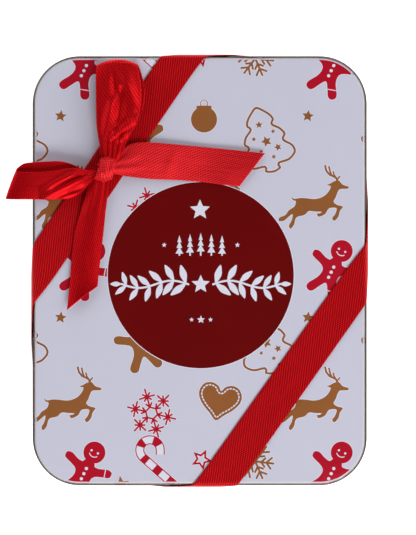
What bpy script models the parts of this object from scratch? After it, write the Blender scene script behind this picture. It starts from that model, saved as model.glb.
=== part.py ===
"""Gift cookie tin: a slip-lid tin of pressed tinplate, closed by a satin ribbon.

The tin is a rounded rectangle of three pressings: the lid, the body wall and the bottom panel.
One ribbon band runs diagonally over two opposite corners of the lid, down the four walls and
across the other two corners underneath. A second ribbon is tied round it in a bow.

Metres, +Z up. +Y is the tin's long side and points to the rear. The origin is under the middle
of the whole object, at the height of the surface that it stands on.
"""
import math

import bmesh
import bpy
from mathutils import Matrix, Vector

# The tin: outside sizes of the lid's skirt, and the height from foot to lid face.
LID_WIDTH = 0.1462
LID_LENGTH = 0.1884
LID_CORNER = 0.0200
LID_DEPTH = 0.0130
LID_EDGE = 0.0009
TIN_HEIGHT = 0.0450

# Tinplate and its rolled and seamed edges.
SHEET = 0.0003
BEAD_OUT = 0.0010
CURL_RADIUS = 0.0008
SEAM_HEIGHT = 0.0026
PANEL_RECESS = 0.0022

# Clearance between neighbouring pieces, also the slip fit of the lid on the body.
GAP = 0.0003

# Ribbon band. The cuts are measured from the lid's edges to the ribbon's middle line:
# *_CUT_X along the short sides, *_CUT_Y along the long ones.
RIBBON_WIDTH = 0.0159
RIBBON = 0.0004
LEFT_REAR_CUT_X = 0.0655
LEFT_REAR_CUT_Y = 0.0967
RIGHT_FRONT_CUT_X = 0.0661
RIGHT_FRONT_CUT_Y = 0.0937
UNDER_CUT_X = 0.0420
UNDER_CUT_Y = 0.0386

# Bow. The knot sits on the left rear strip; the loops and tails start at its faces.
KNOT_ALONG = 0.0579
KNOT_ASIDE = 0.0030
KNOT_WIDTH = 0.0088
KNOT_LENGTH = 0.0158
KNOT_HEIGHT = 0.0090
KNOT_ROUNDING = 0.0030
LOOP_THICKNESS = 0.0080
TAIL_THICKNESS = 0.0010

# Outlines of the bow's pieces, anticlockwise, in ribbon widths: a wider ribbon ties a larger bow.
# Each is measured from the middle of the knot's face that the piece comes out of.
REAR_LOOP = [
    (0.55, 0.00), (0.72, 0.30), (1.00, 0.72), (1.21, 1.13), (1.22, 1.55), (1.08, 2.02),
    (0.83, 2.35), (0.47, 2.43), (0.11, 2.33), (-0.11, 2.08), (-0.18, 1.60), (-0.16, 0.86),
    (-0.07, 0.00),
]
LEFT_LOOP = [
    (0.00, -0.25), (-0.36, -0.08), (-0.70, 0.06), (-1.28, 0.08), (-1.83, 0.04), (-2.00, -0.06),
    (-2.22, -0.47), (-2.38, -0.87), (-2.31, -1.00), (-0.70, -0.99), (-0.39, -0.84),
    (-0.14, -0.74), (-0.02, -0.47),
]
RIGHT_TAIL = [
    (0.00, -0.25), (0.32, -0.33), (1.21, -0.43), (3.50, -0.62), (3.95, -0.11), (4.22, 0.30),
    (2.07, 0.50), (0.96, 0.59), (0.48, 0.59), (0.14, 0.47),
]
FRONT_TAIL = [
    (0.18, 0.00), (-0.36, 0.00), (-0.64, -0.96), (-0.79, -1.50), (-0.87, -2.55), (-0.97, -3.50),
    (-0.48, -3.17), (-0.11, -2.84), (-0.04, -2.07), (0.04, -1.22), (0.16, -0.33),
]

# Segments in each rounded corner of the tin, and in the small bends of its profiles.
CORNER_STEPS = 8
BEND_STEPS = 4

# Heights, from the surface upwards.
FOOT_Z = RIBBON + GAP
LID_TOP_Z = FOOT_Z + TIN_HEIGHT
LID_RIM_Z = LID_TOP_Z - LID_DEPTH
BAND_TOP_Z = LID_TOP_Z + GAP + RIBBON
TAIL_Z = BAND_TOP_Z + GAP
LOOP_Z = TAIL_Z + TAIL_THICKNESS + GAP

# Half sizes of the lid's skirt and of the ribbon's planes outside its bead.
LID_HALF = Vector((LID_WIDTH / 2, LID_LENGTH / 2))
BAND_INNER = LID_HALF + Vector((BEAD_OUT + GAP, BEAD_OUT + GAP))
BAND_OUTER = BAND_INNER + Vector((RIBBON, RIBBON))


def clear_scene():
    """Start from an empty scene."""
    for obj in list(bpy.data.objects):
        bpy.data.objects.remove(obj, do_unlink=True)


def make_material(name, colour, roughness, metallic=0.0):
    """A Principled material of one linear colour."""
    material = bpy.data.materials.new(name)
    material.use_nodes = True
    shader = material.node_tree.nodes["Principled BSDF"]
    shader.inputs["Base Color"].default_value = (*colour, 1.0)
    shader.inputs["Roughness"].default_value = roughness
    shader.inputs["Metallic"].default_value = metallic
    return material


def add_object(name, data, collection, frame, material):
    """Put a mesh or curve in the collection, hung from the object's frame."""
    obj = bpy.data.objects.new(name, data)
    data.materials.append(material)
    collection.objects.link(obj)
    obj.parent = frame
    return obj


# --- Pressed tinplate ---------------------------------------------------------------------

def rounded_ring(bm, offset, z):
    """Vertices of a rounded rectangle, offset from the lid's skirt by a distance, at height z."""
    verts = []
    for quarter, (side_x, side_y) in enumerate(((1, 1), (-1, 1), (-1, -1), (1, -1))):
        centre_x = side_x * (LID_HALF.x - LID_CORNER)
        centre_y = side_y * (LID_HALF.y - LID_CORNER)
        for step in range(CORNER_STEPS + 1):
            angle = math.pi / 2 * (quarter + step / CORNER_STEPS)
            reach = LID_CORNER + offset
            point = (centre_x + reach * math.cos(angle), centre_y + reach * math.sin(angle), z)
            verts.append(bm.verts.new(point))
    return verts


def loft(name, profile, closed):
    """A mesh lofted through rings of (offset, height).

    A closed profile is a band with a way through; an open one gets a flat panel at each end.
    """
    bm = bmesh.new()
    rings = [rounded_ring(bm, offset, z) for offset, z in profile]
    pairs = list(zip(rings, rings[1:]))
    if closed:
        pairs.append((rings[-1], rings[0]))
    else:
        bm.faces.new(rings[0])
        bm.faces.new(reversed(rings[-1]))
    for ring, following in pairs:
        for i in range(len(ring)):
            bm.faces.new((ring[i], ring[i - 1], following[i - 1], following[i]))
    bmesh.ops.recalc_face_normals(bm, faces=bm.faces)
    mesh = bpy.data.meshes.new(name)
    bm.to_mesh(mesh)
    bm.free()
    mesh.set_sharp_from_angle(angle=math.radians(40))
    mesh.shade_smooth()
    return mesh


def bend(centre_offset, centre_z, radius, start, end):
    """Profile points along a small arc, from one angle to another, in degrees."""
    points = []
    for step in range(BEND_STEPS + 1):
        angle = math.radians(start + (end - start) * step / BEND_STEPS)
        points.append((centre_offset + radius * math.cos(angle), centre_z + radius * math.sin(angle)))
    return points


def lid_profile():
    """Face, bent edge, skirt and outward bead, then back up the inside."""
    bead = (BEAD_OUT + SHEET) / 2
    bead_middle = bead - SHEET
    edge_z = LID_TOP_Z - LID_EDGE
    outside = bend(-LID_EDGE, edge_z, LID_EDGE, 90, 0)
    roll = bend(bead_middle, LID_RIM_Z + bead, bead, 120, -180)
    inside = bend(-LID_EDGE, edge_z, LID_EDGE - SHEET, 0, 90)
    neck = [(0.0, LID_RIM_Z + 2 * bead)]
    return outside + neck + roll + inside


def wall_profile():
    """Wall with its top edge curled inwards and its foot standing in the seam's channel."""
    outer = -SHEET - GAP
    inner = outer - SHEET
    top_z = LID_TOP_Z - SHEET - GAP
    foot_z = FOOT_Z + SHEET + GAP
    curl_z = top_z - CURL_RADIUS
    outside_curl = bend(outer - CURL_RADIUS, curl_z, CURL_RADIUS, 0, 180)
    inside_curl = bend(outer - CURL_RADIUS, curl_z, CURL_RADIUS - SHEET, 180, 0)
    return [(outer, foot_z)] + outside_curl + inside_curl + [(inner, foot_z)]


def panel_profile():
    """Recessed panel, its upright, and the channel that is seamed round the wall's foot."""
    wall_outer = -SHEET - GAP
    upright = wall_outer - SHEET - GAP
    hook = wall_outer + GAP
    return [
        (upright, FOOT_Z + PANEL_RECESS + SHEET),
        (upright, FOOT_Z + SHEET),
        (hook, FOOT_Z + SHEET),
        (hook, FOOT_Z + SEAM_HEIGHT),
        (hook + SHEET, FOOT_Z + SEAM_HEIGHT),
        (hook + SHEET, FOOT_Z + SHEET),
        (hook, FOOT_Z),
        (upright - SHEET, FOOT_Z),
        (upright - SHEET, FOOT_Z + PANEL_RECESS),
    ]


# --- Ribbon band --------------------------------------------------------------------------

def flat_piece(name, outline, thickness, matrix, collection, frame, material):
    """A flat piece: its outline in a plane, with its thickness along that plane's normal."""
    curve = bpy.data.curves.new(name, "CURVE")
    curve.dimensions = "2D"
    curve.fill_mode = "BOTH"
    curve.extrude = thickness / 2
    spline = curve.splines.new("POLY")
    spline.points.add(len(outline) - 1)
    for point, (x, y) in zip(spline.points, outline):
        point.co = (x, y, 0.0, 1.0)
    spline.use_cyclic_u = True
    piece = add_object(name, curve, collection, frame, material)
    piece.matrix_local = matrix @ Matrix.Translation((0, 0, thickness / 2))
    return piece


def corner_strip(side_x, side_y, cut_x, cut_y):
    """Outline of a strip over the corner at (side_x, side_y), cut off along both edges.

    Its middle line meets the long wall at cut_y from the corner, and the short one at cut_x.
    """
    limit = BAND_INNER - Vector((GAP, GAP))
    on_long = Vector((limit.x, LID_HALF.y - cut_y))
    on_short = Vector((LID_HALF.x - cut_x, limit.y))
    run = (on_short - on_long).normalized()
    half_y = RIBBON_WIDTH / 2 / abs(run.x)
    half_x = RIBBON_WIDTH / 2 / abs(run.y)
    outline = [
        (on_long.x, on_long.y - half_y), (on_long.x, on_long.y + half_y),
        (on_short.x + half_x, on_short.y), (on_short.x - half_x, on_short.y),
    ]
    return [(side_x * x, side_y * y) for x, y in outline]


def wall_strip(top_at, bottom_at, low, high):
    """Outline of a strip on a wall between two heights, as (along the wall, height).

    Its middle line runs from top_at, at the top of the band, to bottom_at, at the surface.
    """
    lean = (top_at - bottom_at) / BAND_TOP_Z
    half = RIBBON_WIDTH / 2 * math.hypot(1.0, lean)
    low_at = bottom_at + lean * low
    high_at = bottom_at + lean * high
    return [(low_at - half, low), (low_at + half, low), (high_at + half, high), (high_at - half, high)]


def upright_plane(turn, distance):
    """Plane of a wall: turned about Z so that it faces outwards, this far from the middle."""
    facing = Matrix.Rotation(turn, 4, "Z")
    standing = Matrix.Rotation(math.pi / 2, 4, "X")
    return facing @ Matrix.Translation((0, RIBBON - distance, 0)) @ standing


def build_band(collection, frame, material):
    """Top strips and upper wall strips go with the lid, the others stay with the body."""
    left_rear = corner_strip(-1, 1, LEFT_REAR_CUT_X, LEFT_REAR_CUT_Y)
    right_front = corner_strip(1, -1, RIGHT_FRONT_CUT_X, RIGHT_FRONT_CUT_Y)
    right_rear = corner_strip(1, 1, UNDER_CUT_X, UNDER_CUT_Y)
    left_front = corner_strip(-1, -1, UNDER_CUT_X, UNDER_CUT_Y)
    on_lid = Matrix.Translation((0, 0, LID_TOP_Z + GAP))
    under = Matrix.Identity(4)
    for name, outline, matrix in (
        ("band_top_left_rear", left_rear, on_lid),
        ("band_top_right_front", right_front, on_lid),
        ("band_under_right_rear", right_rear, under),
        ("band_under_left_front", left_front, under),
    ):
        flat_piece(name, outline, RIBBON, matrix, collection, frame, material)

    # Each wall as seen from outside: its turn, its distance, and where the ribbon's middle
    # line lies at the top and at the foot, counted to the right.
    walls = (
        ("front", 0.0, BAND_OUTER.y,
         LID_HALF.x - RIGHT_FRONT_CUT_X, UNDER_CUT_X - LID_HALF.x),
        ("right", math.pi / 2, BAND_OUTER.x,
         RIGHT_FRONT_CUT_Y - LID_HALF.y, LID_HALF.y - UNDER_CUT_Y),
        ("rear", math.pi, BAND_OUTER.y,
         LID_HALF.x - LEFT_REAR_CUT_X, UNDER_CUT_X - LID_HALF.x),
        ("left", -math.pi / 2, BAND_OUTER.x,
         LEFT_REAR_CUT_Y - LID_HALF.y, LID_HALF.y - UNDER_CUT_Y),
    )
    for wall, turn, distance, top_at, bottom_at in walls:
        plane = upright_plane(turn, distance)
        stretches = (
            ("band_lid_" + wall, LID_RIM_Z + GAP / 2, BAND_TOP_Z),
            ("band_base_" + wall, 0.0, LID_RIM_Z - GAP / 2),
        )
        for name, low, high in stretches:
            outline = wall_strip(top_at, bottom_at, low, high)
            flat_piece(name, outline, RIBBON, plane, collection, frame, material)


# --- Bow ----------------------------------------------------------------------------------

def knot_centre():
    """Middle of the knot, seen from above, from the left rear strip's middle line."""
    start = Vector((-LID_HALF.x, LID_HALF.y - LEFT_REAR_CUT_Y))
    end = Vector((LEFT_REAR_CUT_X - LID_HALF.x, LID_HALF.y))
    run = (end - start).normalized()
    return start + KNOT_ALONG * run + KNOT_ASIDE * Vector((-run.y, run.x))


def build_bow(collection, frame, material):
    """Knot, two flattened loops and two tails, lying just above the left rear strip."""
    middle = knot_centre()
    bpy.ops.mesh.primitive_cube_add(size=1.0)
    knot = bpy.context.active_object
    knot.name = "bow_knot"
    knot.data.transform(Matrix.Diagonal((KNOT_WIDTH, KNOT_LENGTH, KNOT_HEIGHT, 1.0)))
    knot.data.materials.append(material)
    for owner in list(knot.users_collection):
        owner.objects.unlink(knot)
    collection.objects.link(knot)
    knot.parent = frame
    knot.location = (middle.x, middle.y, TAIL_Z + KNOT_HEIGHT / 2)
    rounding = knot.modifiers.new("Rounding", "BEVEL")
    rounding.width = KNOT_ROUNDING
    rounding.segments = 3

    face_x = KNOT_WIDTH / 2 + GAP
    face_y = KNOT_LENGTH / 2 + GAP
    for name, outline, start, low, thickness in (
        ("bow_rear_loop", REAR_LOOP, (0, face_y), LOOP_Z, LOOP_THICKNESS),
        ("bow_left_loop", LEFT_LOOP, (-face_x, 0), LOOP_Z, LOOP_THICKNESS),
        ("bow_right_tail", RIGHT_TAIL, (face_x, 0), TAIL_Z, TAIL_THICKNESS),
        ("bow_front_tail", FRONT_TAIL, (0, -face_y), TAIL_Z, TAIL_THICKNESS),
    ):
        matrix = Matrix.Translation((middle.x + start[0], middle.y + start[1], low))
        shape = [(RIBBON_WIDTH * x, RIBBON_WIDTH * y) for x, y in outline]
        flat_piece(name, shape, thickness, matrix, collection, frame, material)


def middle_of_extent():
    """How far the tin's middle lies from the middle of the whole object, bow included."""
    knot = knot_centre()
    left_tip = knot.x - KNOT_WIDTH / 2 - GAP + RIBBON_WIDTH * min(x for x, _ in LEFT_LOOP)
    rear_tip = knot.y + KNOT_LENGTH / 2 + GAP + RIBBON_WIDTH * max(y for _, y in REAR_LOOP)
    left = min(left_tip, -BAND_OUTER.x)
    rear = max(rear_tip, BAND_OUTER.y)
    return Vector(((BAND_OUTER.x + left) / 2, (rear - BAND_OUTER.y) / 2, 0))


def main():
    clear_scene()
    collection = bpy.data.collections.new("Cookie tin")
    bpy.context.scene.collection.children.link(collection)
    frame = bpy.data.objects.new("Tin frame", None)
    collection.objects.link(frame)
    frame.location = -middle_of_extent()

    printed = make_material("Printed tinplate", (0.52, 0.51, 0.60), 0.45)
    tinplate = make_material("Bare tinplate", (0.62, 0.62, 0.63), 0.28, 1.0)
    band_satin = make_material("Band ribbon", (0.30, 0.002, 0.004), 0.60)
    bow_satin = make_material("Bow ribbon", (0.50, 0.004, 0.008), 0.38)

    for name, profile, closed, material in (
        ("lid_shell", lid_profile(), False, printed),
        ("body_wall", wall_profile(), True, tinplate),
        ("bottom_panel", panel_profile(), False, tinplate),
    ):
        add_object(name, loft(name, profile, closed), collection, frame, material)
    build_band(collection, frame, band_satin)
    build_bow(collection, frame, bow_satin)
    bpy.context.view_layer.update()


main()
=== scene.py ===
"""Gift cookie tin: a slip-lid tin of pressed tinplate, tied up with a ribbon band and a satin bow.

The lid's face is enamelled white and printed with a repeat of festive shapes round a dark roundel.
One ribbon goes round the tin over two corners of the lid and under the other two. A second ribbon is
tied round it in a bow. Metres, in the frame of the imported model.
"""

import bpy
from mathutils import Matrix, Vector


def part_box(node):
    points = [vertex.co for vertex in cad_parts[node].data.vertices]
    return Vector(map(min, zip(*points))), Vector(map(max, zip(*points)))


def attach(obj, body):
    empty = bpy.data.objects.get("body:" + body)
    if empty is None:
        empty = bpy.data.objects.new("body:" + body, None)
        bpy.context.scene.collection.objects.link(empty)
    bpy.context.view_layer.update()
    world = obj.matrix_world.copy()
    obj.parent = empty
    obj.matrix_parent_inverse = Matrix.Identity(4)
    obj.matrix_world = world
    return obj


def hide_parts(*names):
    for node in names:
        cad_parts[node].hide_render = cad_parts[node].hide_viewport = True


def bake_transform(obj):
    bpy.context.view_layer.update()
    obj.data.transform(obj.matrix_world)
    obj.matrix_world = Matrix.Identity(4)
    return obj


bl_info = {
    "name": "Gift Cookie Tin",
    "version": (1, 0, 0),
    "blender": (4, 5, 0),
    "location": "3D View > Sidebar > Cookie Tin",
    "description": "Builds a printed slip-lid tin with its ribbon band and bow",
    "category": "Add Mesh",
}

import math

import bmesh
import bpy
from bpy.props import FloatProperty, FloatVectorProperty, PointerProperty
from mathutils import Matrix, Vector

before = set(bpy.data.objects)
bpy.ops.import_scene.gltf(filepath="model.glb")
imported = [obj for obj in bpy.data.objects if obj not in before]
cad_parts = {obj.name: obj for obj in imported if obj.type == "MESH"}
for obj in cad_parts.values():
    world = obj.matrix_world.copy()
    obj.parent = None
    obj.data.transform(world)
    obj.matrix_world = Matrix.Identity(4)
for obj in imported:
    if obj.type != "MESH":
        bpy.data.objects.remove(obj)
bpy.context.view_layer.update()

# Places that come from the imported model.
MM = 0.001
SHELL_LOW, SHELL_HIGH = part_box("lid_shell")
WALL_LOW, WALL_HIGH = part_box("body_wall")
PANEL_LOW, PANEL_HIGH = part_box("bottom_panel")
MIDDLE = (SHELL_LOW + SHELL_HIGH) / 2
LID_TOP = SHELL_HIGH.z
LID_RIM = SHELL_LOW.z
FOOT = PANEL_LOW.z
TOP_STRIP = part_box("band_top_left_rear")[0].z - LID_TOP


def linear(code):
    """An sRGB hex colour such as #bfbece as linear red, green and blue."""
    channels = [int(code[i:i + 2], 16) / 255 for i in (1, 3, 5)]
    return tuple(c / 12.92 if c <= 0.04045 else ((c + 0.055) / 1.055) ** 2.4 for c in channels)


# --- Settings -----------------------------------------------------------------------------

def length_setting(name, description, default):
    """A length that a user can change, in metres."""
    return FloatProperty(name=name, description=description, default=default, unit="LENGTH")


def colour_setting(name, description, code):
    """A colour that a user can change, given as an sRGB hex colour."""
    return FloatVectorProperty(name=name, description=description, default=linear(code),
                               subtype="COLOR")


class TinSettings(bpy.types.PropertyGroup):
    """Sizes of the tin's pressings and the colours of its metal and enamel."""
    corner: length_setting("Corner", "Radius of the lid's corners, seen from above", 0.0200)
    bead_out: length_setting("Bead", "How far the rolled bead stands out of the lid's skirt", 0.0010)
    edge: length_setting("Edge bend", "Radius of the bend round the lid's face", 0.0012)
    sheet: length_setting("Sheet", "Thickness of the tinplate", 0.0003)
    slip: length_setting("Slip fit", "Room between the lid's skirt and the body wall", 0.0003)
    enamel: colour_setting("Enamel", "White enamel of the lid's face", "#d3d2e2")
    size_coat: colour_setting("Size coat", "Cream size coat at the enamel's edge", "#c9bfae")
    tinplate: colour_setting("Tinplate", "Bare rolled tinplate", "#b4b2b0")
    # This dark tinplate colour is painted dark reflection and shade on the lid's bend and bead.
    painted_dark_metal: colour_setting("Tinplate painted dark", "Metal of the lid's bend and bead", "#4a4746")


class PrintSettings(bpy.types.PropertyGroup):
    """Sizes and inks of the print on the lid."""
    repeat_across: length_setting(
        "Repeat across", "Distance from a motif to its copy across the lid", 0.1090)
    repeat_along: length_setting(
        "Repeat along", "Distance from a motif to its copy along the lid", 0.0888)
    roundel: length_setting("Roundel", "Radius of the dark roundel", 0.0410)
    halo: length_setting("Halo", "How far the pale underprint shows round a motif", 0.00028)
    red: colour_setting("Red ink", "Bright red of the small figures", "#b80a26")
    gold: colour_setting("Gold ink", "Brown gold of the small figures", "#ac6c3a")
    dark: colour_setting("Roundel ink", "Dark red of the roundel", "#6a0001")
    pale: colour_setting("Pale ink", "White ink under and on the motifs", "#e6e6f4")


class RibbonSettings(bpy.types.PropertyGroup):
    """Sizes and colours of the ribbon."""
    width: length_setting("Width", "Width of the ribbon", 0.0159)
    thickness: length_setting("Thickness", "Thickness of the woven ribbon", 0.00034)
    bend: length_setting("Bend", "Radius in which the band goes over an edge", 0.0012)
    # The weave is real; its ground colours are darker as painted shade between the threads, and its
    # thread colours lighter as painted highlight.
    band_deep: colour_setting(
        "Band ground", "Dull side of the ribbon, between the threads", "#680002")
    band_bright: colour_setting("Band threads", "Dull side of the ribbon, on the threads", "#f8141e")
    bow_deep: colour_setting("Bow ground", "Satin side of the ribbon, between the threads", "#ac0006")
    bow_bright: colour_setting("Bow threads", "Satin side of the ribbon, on the threads", "#e6121c")
    # These two colours are painted light: a lighter copy of the satin colours that stands in for the
    # glare on the right tail and the knot's wrap.
    painted_lit_deep: colour_setting(
        "Painted-lit ground", "Satin side painted lighter as if lit, between the threads", "#b4060e")
    painted_lit_bright: colour_setting(
        "Painted-lit threads", "Satin side painted lighter as if lit, on the threads", "#fa2e36")


class StageSettings(bpy.types.PropertyGroup):
    """Camera and floor."""
    height: length_setting("Camera height", "Distance from the lid's face to the camera", 2.2)
    view_across: length_setting(
        "View", "Length of the lid's plane that the long side of the view covers", 0.2358)
    floor_size: length_setting("Floor", "Side of the floor", 8.0)


# --- Small tools --------------------------------------------------------------------------

def place(u, v, z):
    """A point u across and v along from the tin's middle, at height z, all in millimetres."""
    return Vector((MIDDLE.x + u * MM, MIDDLE.y + v * MM, z * MM))


def to_mesh(name, bm):
    """Turns a bmesh into a mesh, and frees it."""
    mesh = bpy.data.meshes.new(name)
    bm.to_mesh(mesh)
    bm.free()
    return mesh


def put(name, data):
    """An object of some data, in the scene."""
    thing = bpy.data.objects.new(name, data)
    bpy.context.scene.collection.objects.link(thing)
    return thing


def add_piece(name, bm, materials, body, sharp=35.0):
    """Makes an object of a bmesh, shades it smooth and lets it ride on a body, if one is given."""
    mesh = to_mesh(name, bm)
    piece = put(name, mesh)
    for material in materials:
        mesh.materials.append(material)
    mesh.shade_smooth()
    mesh.set_sharp_from_angle(angle=math.radians(sharp))
    if body:
        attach(piece, body)
    return piece


def thicken(piece, name, thickness, offset):
    """Gives an open surface its thickness: to both sides with offset 0, inwards with -1."""
    solid = piece.modifiers.new(name, "SOLIDIFY")
    solid.thickness = thickness
    solid.offset = offset
    return solid


def bevel(bm, edges, offset, segments):
    """Rounds edges off."""
    bmesh.ops.bevel(bm, geom=edges, offset=offset, offset_type="OFFSET", segments=segments,
                    profile=0.5, affect="EDGES", material=-1)


def rounded_block(bm, half, corner, low, high):
    """An upright block with rounded corners round the tin's middle. half is its half sizes."""
    made = bmesh.ops.create_cube(bm, size=1.0, matrix=(
        Matrix.Translation((MIDDLE.x, MIDDLE.y, (low + high) / 2))
        @ Matrix.Diagonal((2 * half.x, 2 * half.y, high - low, 1.0))))
    edges = {edge for vert in made["verts"] for edge in vert.link_edges}
    upright = [e for e in edges if abs(e.verts[0].co.z - e.verts[1].co.z) > (high - low) / 2]
    bevel(bm, upright, corner, 20)


def flat_faces(bm, z):
    """The level faces at height z."""
    return [f for f in bm.faces if abs(f.normal.z) > 0.99 and abs(f.calc_center_median().z - z) < 1e-6]


def long_edges(bm, z):
    """The edges that run round the tin at height z."""
    return [e for e in bm.edges if all(abs(v.co.z - z) < 1e-6 for v in e.verts)]


def open_at(bm, *levels):
    """Takes away the level faces at each of some heights."""
    level = [face for z in levels for face in flat_faces(bm, z)]
    bmesh.ops.delete(bm, geom=level, context="FACES_ONLY")


def round_bar(half, corner, low, high, depth):
    """A bar rolled round the tin, depth thick inwards from half, with rounded edges."""
    bar = bmesh.new()
    rounded_block(bar, half, corner, low, high)
    open_at(bar, low, high)
    bmesh.ops.solidify(bar, geom=bar.faces[:], thickness=depth)
    bmesh.ops.recalc_face_normals(bar, faces=bar.faces[:])
    rims = long_edges(bar, low) + long_edges(bar, high)
    rims = [e for e in rims if abs(e.calc_face_angle(0.0)) > 1.0]
    bevel(bar, rims, min(depth, high - low) * 0.49, 4)
    return bar


# --- Materials ----------------------------------------------------------------------------

def add_node(tree, kind, inputs=None, links=None, **settings):
    """Adds a node, sets its settings and inputs, and links outputs into it."""
    node = tree.nodes.new(kind)
    for key, value in settings.items():
        setattr(node, key, value)
    for key, value in (inputs or {}).items():
        node.inputs[key].default_value = value
    for key, output in (links or {}).items():
        tree.links.new(output, node.inputs[key])
    return node


def new_material(name, inputs):
    """A node material whose shader has some inputs set, its tree and its Principled shader."""
    material = bpy.data.materials.new(name)
    material.use_nodes = True
    tree = material.node_tree
    shader = tree.nodes["Principled BSDF"]
    for key, value in inputs.items():
        shader.inputs[key].default_value = value
    return material, tree, shader


def rgba(colour, shade=1.0):
    """A colour with an alpha, darkened or lightened by shade."""
    return (colour[0] * shade, colour[1] * shade, colour[2] * shade, 1.0)


def noise(tree, vector, scale, detail):
    """Noise over a vector, from 0 to 1."""
    node = add_node(tree, "ShaderNodeTexNoise", {"Scale": scale, "Detail": detail},
                    {"Vector": vector})
    return node.outputs["Fac"]


def calc(tree, operation, *terms):
    """A sum of outputs and numbers."""
    node = add_node(tree, "ShaderNodeMath", operation=operation)
    for socket, term in zip(node.inputs, terms):
        if isinstance(term, float):
            socket.default_value = term
        else:
            tree.links.new(term, socket)
    return node.outputs[0]


def mapped(tree, vector, how, values):
    """A vector that is turned, where how is Rotation, or stretched, where it is Scale."""
    return add_node(tree, "ShaderNodeMapping", {how: values}, {"Vector": vector}).outputs["Vector"]


def spread(tree, value, low, high, start=0.0, end=1.0):
    """A value from start to end, spread out from low to high."""
    node = add_node(tree, "ShaderNodeMapRange",
                    {"From Min": start, "From Max": end, "To Min": low, "To Max": high},
                    {"Value": value})
    return node.outputs["Result"]


def set_tone(tree, shader, value, *stops):
    """Colours a shader by a value, between two stops of position and colour."""
    ramp = add_node(tree, "ShaderNodeValToRGB", links={"Fac": value})
    for i, (position, colour) in enumerate(stops):
        ramp.color_ramp.elements[i].position = position
        ramp.color_ramp.elements[i].color = colour
    tree.links.new(ramp.outputs["Color"], shader.inputs["Base Color"])


def set_bump(tree, shader, height, strength, distance):
    """Dents a shader's surface by a height."""
    bump = add_node(tree, "ShaderNodeBump", {"Strength": strength, "Distance": distance},
                    {"Height": height})
    tree.links.new(bump.outputs["Normal"], shader.inputs["Normal"])


def enamel_material(name, colour, roughness, mottle=0.04, metallic=0.0):
    """Lithographed enamel ink under varnish: even colour, faint mottle, soft gloss."""
    material, tree, shader = new_material(name, {
        "Roughness": roughness, "Metallic": metallic, "IOR": 1.5, "Specular IOR Level": 0.3,
        "Coat Weight": 0.15, "Coat Roughness": 0.18})
    spot = add_node(tree, "ShaderNodeTexCoord").outputs["Object"]
    # Ink density wanders over a couple of centimetres, with a fine grain of rosette size.
    cloud = calc(tree, "MULTIPLY", noise(tree, spot, 55.0, 3.0), 0.5)
    density = calc(tree, "MULTIPLY_ADD", noise(tree, spot, 2200.0, 2.0), 0.5, cloud)
    set_tone(tree, shader, density, (0.3, rgba(colour, 1.0 - mottle)),
             (0.7, rgba(colour, 1.0 + mottle)))
    # Varnish flows into shallow waves of about a millimetre.
    set_bump(tree, shader, noise(tree, spot, 900.0, 1.0), 0.04, 0.0001)
    return material


def tinplate_material(name, colour):
    """Bare rolled tinplate: softly bright, with fine rolling lines and a slight bloom."""
    material, tree, shader = new_material(name, {"Metallic": 1.0})
    spot = add_node(tree, "ShaderNodeTexCoord").outputs["Object"]
    # Rolling lines run round the tin: fine across the height, long along it.
    rolled = noise(tree, mapped(tree, spot, "Scale", (30.0, 30.0, 2600.0)), 1.0, 3.0)
    set_tone(tree, shader, noise(tree, spot, 90.0, 4.0), (0.35, rgba(colour, 0.88)),
             (0.65, rgba(colour, 1.06)))
    tree.links.new(spread(tree, rolled, 0.24, 0.42), shader.inputs["Roughness"])
    set_bump(tree, shader, rolled, 0.12, 0.00005)
    return material


def ribbon_material(name, deep, bright, roughness, sheen, gloss, relief, painted_streak):
    """Woven polyester ribbon: slanting lines of short floats.

    The real threads are finer than a tenth of a millimetre, so the lines are drawn a millimetre apart
    and the floats 0.85 mm long, to show. Reads the ribbon's own UV, in metres.
    """
    # Dyed filaments send their gloss back in their own red, which a share of metallic gives, and
    # spread it across their run.
    material, tree, shader = new_material(name, {
        "Metallic": gloss, "Sheen Weight": sheen, "Sheen Roughness": 0.35,
        "Sheen Tint": rgba(bright), "IOR": 1.6, "Specular IOR Level": 0.35,
        "Specular Tint": (1.0, 0.25, 0.27, 1.0), "Anisotropic": 0.85})
    thread_run = add_node(tree, "ShaderNodeTangent", direction_type="UV_MAP", uv_map="UVMap")
    tree.links.new(thread_run.outputs["Tangent"], shader.inputs["Tangent"])
    spot = add_node(tree, "ShaderNodeUVMap", uv_map="UVMap").outputs["UV"]
    drift = calc(tree, "MULTIPLY", noise(tree, spot, 260.0, 2.0), 3.5)
    line_pitch, float_length, lean = 1.0 * MM, 0.85 * MM, math.radians(-28)
    turned = mapped(tree, spot, "Rotation", (0.0, 0.0, lean))
    split = add_node(tree, "ShaderNodeSeparateXYZ", links={"Vector": turned})

    def ripple(value, period, offset):
        phase = calc(tree, "MULTIPLY_ADD", value, 2 * math.pi / period, offset)
        return calc(tree, "SINE", phase)

    line = ripple(split.outputs["X"], line_pitch, drift)
    # Every other line is shifted by half a float, like bricks in a wall.
    step = calc(tree, "MULTIPLY_ADD", split.outputs["X"], math.pi / line_pitch, drift)
    floats = ripple(split.outputs["Y"], float_length, step)
    thread = calc(tree, "MULTIPLY_ADD", floats, 0.85, line)
    # Low in the weave the deep colour is painted shade between the threads; on the threads' tops the
    # bright colour is painted highlight.
    height = spread(tree, thread, 0.0, 1.0, -1.5, 1.6)
    # Painted sheen: long soft lighter streaks along the threads, painted into the colour.
    painted_sheen = noise(tree, mapped(tree, spot, "Scale", (900.0, 60.0, 1.0)), 1.0, 3.0)
    set_tone(tree, shader, calc(tree, "MULTIPLY_ADD", painted_sheen, painted_streak, height),
             (0.15 + painted_streak * 0.5, rgba(deep)), (0.85 + painted_streak * 0.5, rgba(bright)))
    rough = spread(tree, height, roughness + 0.12, roughness - 0.06)
    tree.links.new(rough, shader.inputs["Roughness"])
    set_bump(tree, shader, height, relief, 0.00012)
    return material


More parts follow.
